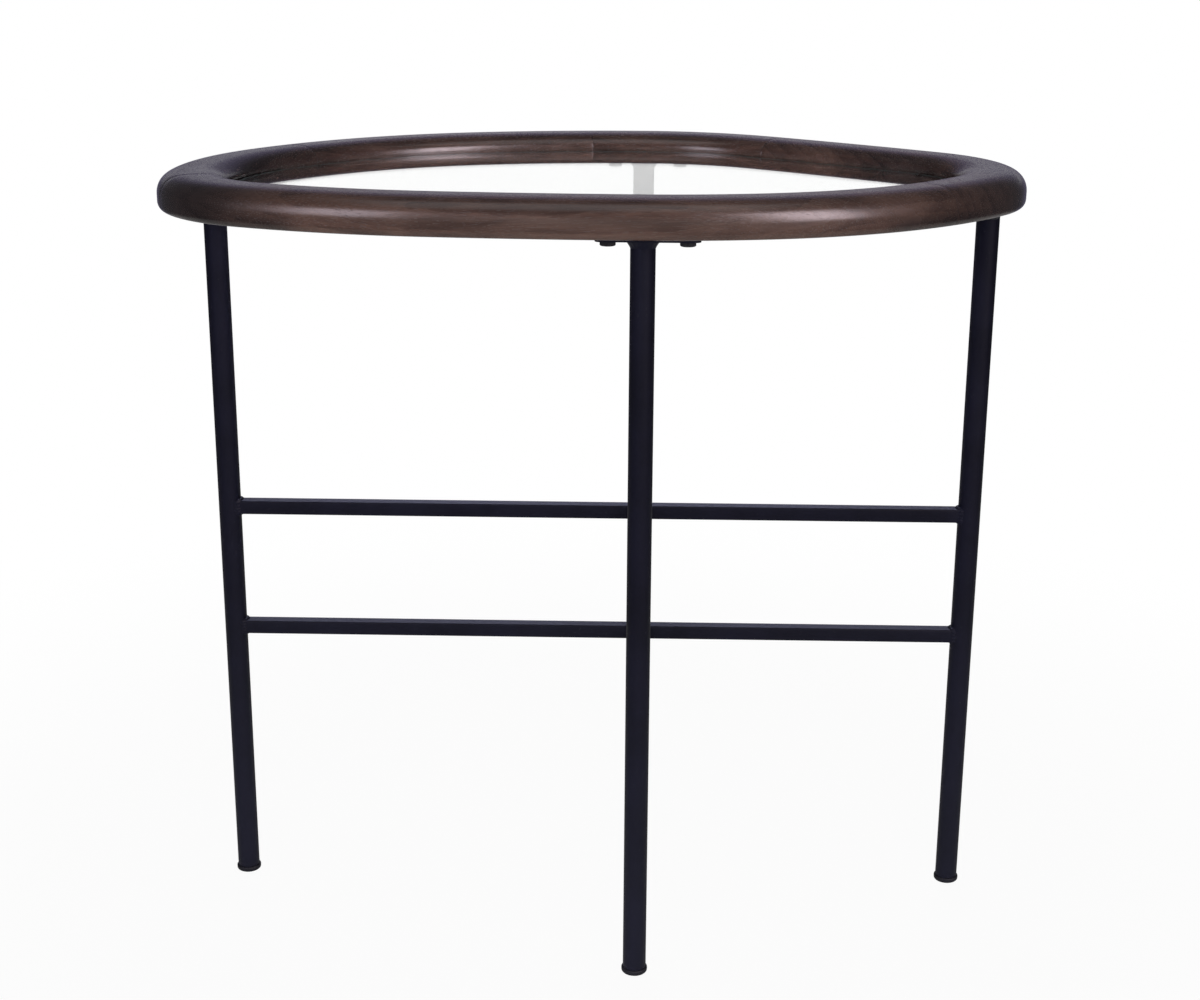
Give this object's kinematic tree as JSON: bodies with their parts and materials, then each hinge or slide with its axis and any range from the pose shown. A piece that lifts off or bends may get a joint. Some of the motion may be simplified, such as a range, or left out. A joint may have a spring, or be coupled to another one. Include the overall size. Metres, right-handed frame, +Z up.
{
  "type": "side table",
  "caption": "Pebble-shaped side table: segmented dark wooden rim around an inset clear glass top, on a slim black steel frame of round legs tied by crossed bars.",
  "frame": {"origin": "on the floor, under the middle of the rim's outline", "axes": "+X along the table's length, to the right as seen from the front; -Y is the front; +Z is up"},
  "size_m": [0.5882, 0.3684, 0.5412],
  "materials": {
    "rim_wood": "dark stained wood, satin lacquer",
    "dowel_wood": "plain beech",
    "glass": "clear float glass, polished edge",
    "clear_pad": "clear silicone",
    "frame_steel": "satin black powder coat",
    "bolt_steel": "black oxide",
    "insert_brass": "turned",
    "foot_plastic": "moulded, matt"
  },
  "bodies": {
    "table": {"rim_front": "rim_wood", "rim_right": "rim_wood", "rim_rear_right": "rim_wood", "rim_rear_left": "rim_wood", "rim_left": "rim_wood", "rim_dowels": "dowel_wood", "glass_pads": "clear_pad", "leg_front": "frame_steel", "foot_front": "foot_plastic", "plate_front": "frame_steel", "leg_right": "frame_steel", "foot_right": "foot_plastic", "plate_right": "frame_steel", "leg_rear": "frame_steel", "foot_rear": "foot_plastic", "plate_rear": "frame_steel", "leg_left": "frame_steel", "foot_left": "foot_plastic", "plate_left": "frame_steel", "stretcher_upper_long": "frame_steel", "stretcher_upper_front": "frame_steel", "stretcher_upper_rear": "frame_steel", "stretcher_lower_long": "frame_steel", "stretcher_lower_front": "frame_steel", "stretcher_lower_rear": "frame_steel", "plate_welds": "frame_steel", "stretcher_welds": "frame_steel", "plate_bolts": "bolt_steel", "threaded_inserts": "insert_brass"},
    "glass": {"glass_top": "glass"}
  },
  "joints": [
    {"name": "glass_lift", "type": "slide", "parent": "table", "child": "glass", "axis": [0, 0, 1], "range_m": [0, 0.06]}
  ]
}
